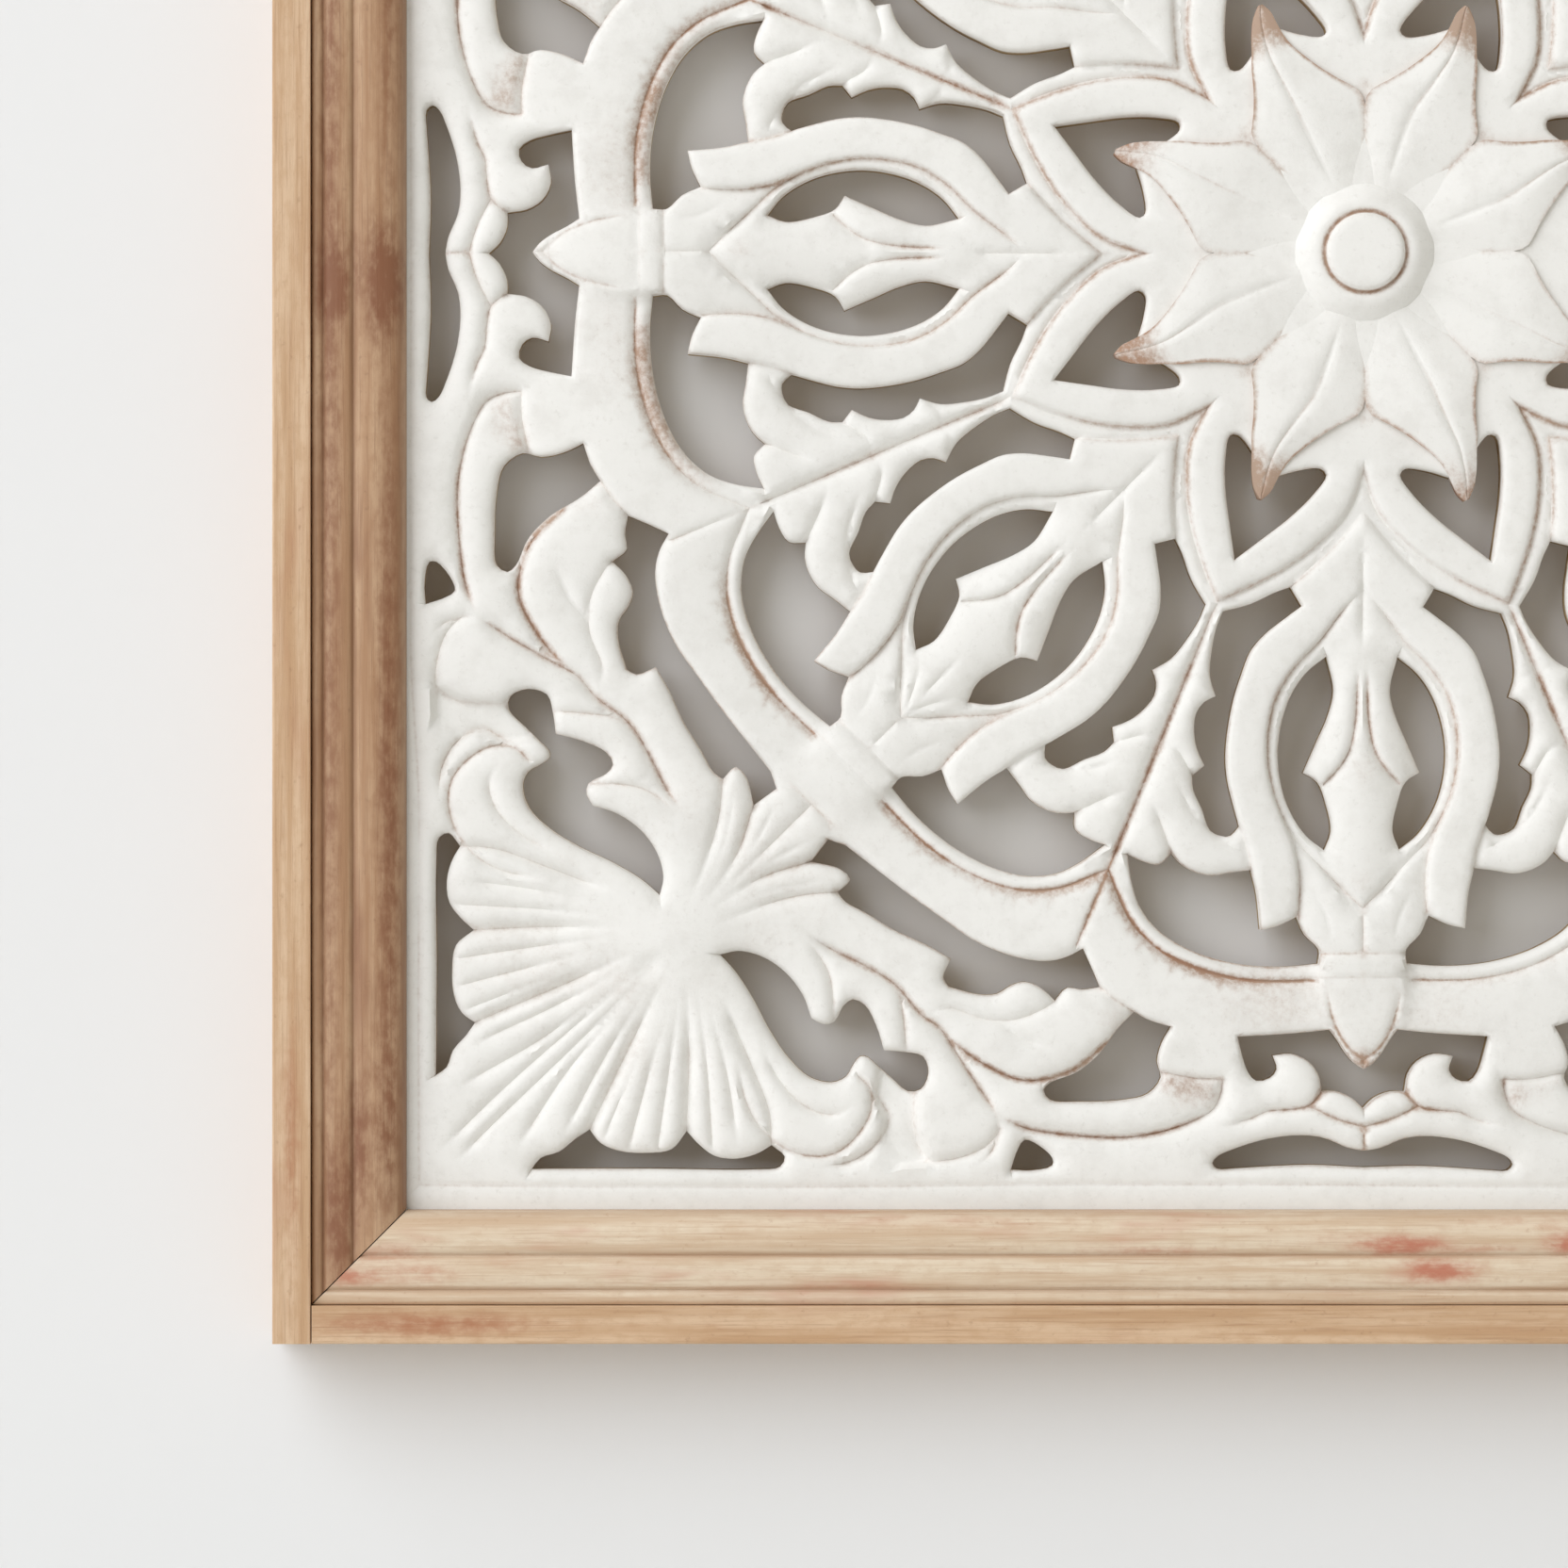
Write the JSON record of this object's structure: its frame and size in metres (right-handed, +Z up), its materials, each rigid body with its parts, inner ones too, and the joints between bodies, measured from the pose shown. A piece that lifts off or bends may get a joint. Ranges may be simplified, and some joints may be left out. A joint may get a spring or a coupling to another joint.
{
  "type": "framed openwork wall panel",
  "caption": "Square wall panel: a carved, pierced board with a flower, looped lobes, a scalloped strap and leafy corners, in a reeded moulding edged by plain laths.",
  "frame": {"origin": "middle of the top lath's back face, where the panel meets the wall and hangs", "axes": "+Z up; +Y out of the panel's back, into the wall, so the carved face looks along -Y"},
  "size_m": [0.6, 0.03, 0.5999],
  "materials": {
    "paint": "chalky off-white paint over wood, rubbed through to reddish brown in the grooves and on sharp edges",
    "moulding": "pale tan wood with reddish-brown grain streaks, satin wax",
    "lath": "golden wood with small dark flecks, satin"
  },
  "bodies": {
    "root": {"carved_panel": "paint", "moulding_bottom": "moulding", "moulding_right": "moulding", "moulding_top": "moulding", "moulding_left": "moulding", "lath_bottom": "lath", "lath_right": "lath", "lath_top": "lath", "lath_left": "lath"}
  },
  "joints": []
}
